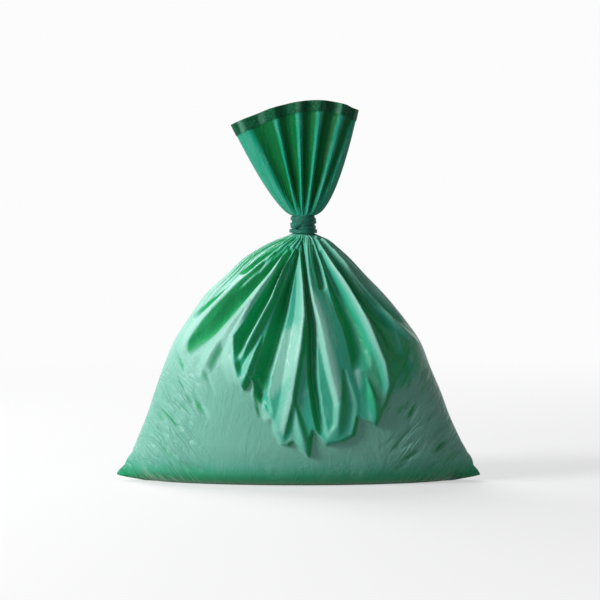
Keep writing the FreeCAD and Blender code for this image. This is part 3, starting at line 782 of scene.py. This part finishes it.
def tie_material(name):
    """The same film, darker where it is rolled up in layers, with sloping strands."""
    n = Nodes(bpy.data.materials.new(name))
    place = n.add("ShaderNodeTexCoord").outputs["Object"]
    sloping = n.add("ShaderNodeMapping", Vector=place, Rotation=(0.0, 0.20, 0.0)).outputs[0]
    strands = n.noise(sloping, (40.0, 40.0, 420.0), detail=3.0, distortion=0.5)
    n.feed(n.shader.inputs["Base Color"], n.mix(strands, TIE_DARK, TIE_PALE))
    n.feed(n.shader.inputs["Roughness"], n.math("MULTIPLY_ADD", strands, 0.2, 0.3))
    n.shader.inputs["Specular IOR Level"].default_value = 0.15
    bump = n.add("ShaderNodeBump", Height=strands, Strength=0.8, Distance=0.002)
    n.feed(n.shader.inputs["Normal"], bump.outputs["Normal"])
    return n.owner


def there_and_back(rows):
    """Rows from the bottom to the top, and the same rows down again."""
    return np.concatenate([rows, rows[::-1]])


def add_bag():
    """The belly, and the mouth with its hem, as one film."""
    shape = Belly()
    places = film_places(shape.bearing, shape.down)
    belly = grid_object("bag_belly", shape.points, True, places, shape.marks())
    outer, places, marks = shaped_mouth()
    inner = shaped_mouth(FILM_WALL)[0]
    from_rim = outer[-1:, :, 2] - outer[:, :, 2]
    marks["hem"] = smooth((HEM_HEIGHT - from_rim) / HEM_EDGE + 0.5)
    outer = outer + normals_of(outer) * (HEM_STEP * marks["hem"])[..., None]
    mouth = grid_object(
        "bag_mouth",
        np.concatenate([outer, inner[::-1]]),
        False,
        there_and_back(places),
        {mark: there_and_back(values) for mark, values in marks.items()},
    )
    # The deep colours below also hold painted shade, and the crest colours painted highlights.
    belly.data.materials.append(film_material(
        "belly_film",
        pale=(0.170, 0.450, 0.350, 1.0),
        loose=(0.042, 0.400, 0.270, 1.0),
        highlight_color=(0.340, 0.640, 0.540, 1.0),
        deep_and_shade=(0.001, 0.340, 0.095, 1.0),
        shine=0.18,
        frost=0.25,
        glint_share=0.35,
    ))
    # The mouth's deep colour is dark for the painted shade in its channels.
    mouth.data.materials.append(film_material(
        "mouth_film",
        pale=(0.150, 0.430, 0.330, 1.0),
        loose=(0.006, 0.300, 0.180, 1.0),
        highlight_color=(0.220, 0.560, 0.430, 1.0),
        deep_and_shade=(0.001, 0.110, 0.016, 1.0),
        shine=0.08,
        frost=0.08,
        glint_share=0.20,
    ))
    for piece in (belly, mouth):
        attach(piece, "root")
    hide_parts("bag")


def add_stage():
    """A wide white floor. Far from the bag it is plain white, so that it meets the world without a line."""
    corners = [(x * FLOOR_HALF, y * FLOOR_HALF, 0.0) for x, y in ((-1, -1), (1, -1), (1, 1), (-1, 1))]
    mesh = bpy.data.meshes.new("studio_floor")
    mesh.from_pydata(corners, [], [(0, 1, 2, 3)])
    floor = bpy.data.objects.new("studio_floor", mesh)
    bpy.context.collection.objects.link(floor)
    n = Nodes(bpy.data.materials.new("studio_white"))
    seen = n.seen()
    n.feed(n.shader.inputs["Base Color"], n.mix(seen, FLOOR_UNDER_BAG, FLOOR_SEEN))
    n.shader.inputs["Roughness"].default_value = 0.9
    n.shader.inputs["Specular IOR Level"].default_value = 0.1
    distance = n.add("ShaderNodeVectorMath")
    distance.operation = "LENGTH"
    n.feed(distance.inputs[0], n.add("ShaderNodeTexCoord").outputs["Object"])
    share = n.add("ShaderNodeMapRange", From_Min=0.3, From_Max=2.2, To_Min=FLOOR_GLOW, To_Max=1.0)
    share.interpolation_type = "SMOOTHSTEP"
    n.feed(share.inputs["Value"], distance.outputs["Value"])
    glow = n.add("ShaderNodeEmission", Color=PLAIN_WHITE, Strength=WHITE)
    both = n.add("ShaderNodeMixShader")
    n.feed(both.inputs[0], n.math("MULTIPLY", seen, share.outputs[0]))
    n.feed(both.inputs[1], n.shader.outputs[0])
    n.feed(both.inputs[2], glow.outputs[0])
    n.feed(n.tree.nodes["Material Output"].inputs["Surface"], both.outputs[0])
    mesh.materials.append(n.owner)


def add_lamp(name, place, size, power):
    lamp = bpy.data.lights.new(name, "AREA")
    lamp.shape = "RECTANGLE"
    lamp.size, lamp.size_y = size
    lamp.energy = power
    obj = bpy.data.objects.new(name, lamp)
    bpy.context.collection.objects.link(obj)
    obj.location = place
    obj.rotation_euler = (Vector(LAMP_TARGET) - Vector(place)).to_track_quat("-Z", "Y").to_euler()


def light_scene():
    """A white world that is seen but gives little light, and the lamps."""
    world = bpy.data.worlds.new("studio_world")
    bpy.context.scene.world = world
    n = Nodes(world, "Background")
    n.shader.inputs["Color"].default_value = PLAIN_WHITE
    strength = n.add("ShaderNodeMapRange", Value=n.seen(), To_Min=WORLD_LIGHT, To_Max=WHITE)
    n.feed(n.shader.inputs["Strength"], strength.outputs[0])
    for lamp in LAMPS:
        add_lamp(*lamp)


def add_camera():
    """Long lens, slightly above the bag. The frame is 738 mm wide at the bag."""
    frame_width, lens, sensor = 0.738, 200.0, 36.0
    distance = frame_width * lens / sensor
    elevation = math.radians(3.0)
    target = Vector((0.0, 0.0, 0.2226))
    data = bpy.data.cameras.new("camera")
    data.lens, data.sensor_width = lens, sensor
    camera = bpy.data.objects.new("camera", data)
    bpy.context.collection.objects.link(camera)
    camera.location = target + distance * Vector((0.0, -math.cos(elevation), math.sin(elevation)))
    camera.rotation_euler = (target - camera.location).to_track_quat("-Z", "Y").to_euler()
    bpy.context.scene.camera = camera


def main():
    add_bag()
    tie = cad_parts["neck_tie"]
    tie.data.materials.clear()
    tie.data.materials.append(tie_material("tie_film"))
    add_stage()
    light_scene()
    add_camera()
    bpy.context.scene.view_settings.view_transform = "Standard"


main()
